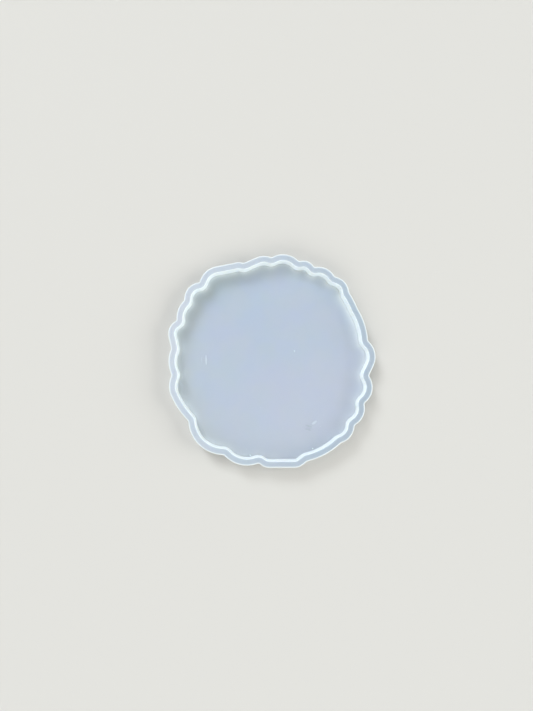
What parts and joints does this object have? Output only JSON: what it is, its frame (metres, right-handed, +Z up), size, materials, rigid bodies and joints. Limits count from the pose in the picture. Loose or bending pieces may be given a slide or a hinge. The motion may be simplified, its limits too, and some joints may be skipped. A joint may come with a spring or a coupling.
{
  "type": "resin casting mould",
  "caption": "Open one-piece silicone mould with a wavy geode-slice outline, a thin flat floor and a raised rim, for casting a flat resin coaster.",
  "frame": {"origin": "on the flat underside, below the middle of the wavy outline's bounding box", "axes": "+Z up, out of the open cavity; +Y along the longer side of the outline; +X across it"},
  "size_m": [0.14, 0.1438, 0.01],
  "materials": {
    "silicone": "translucent milky white silicone, glossy in the cavity and satin on the wall"
  },
  "bodies": {
    "root": {"rim_wall": "silicone", "cavity_floor": "silicone"}
  },
  "joints": []
}
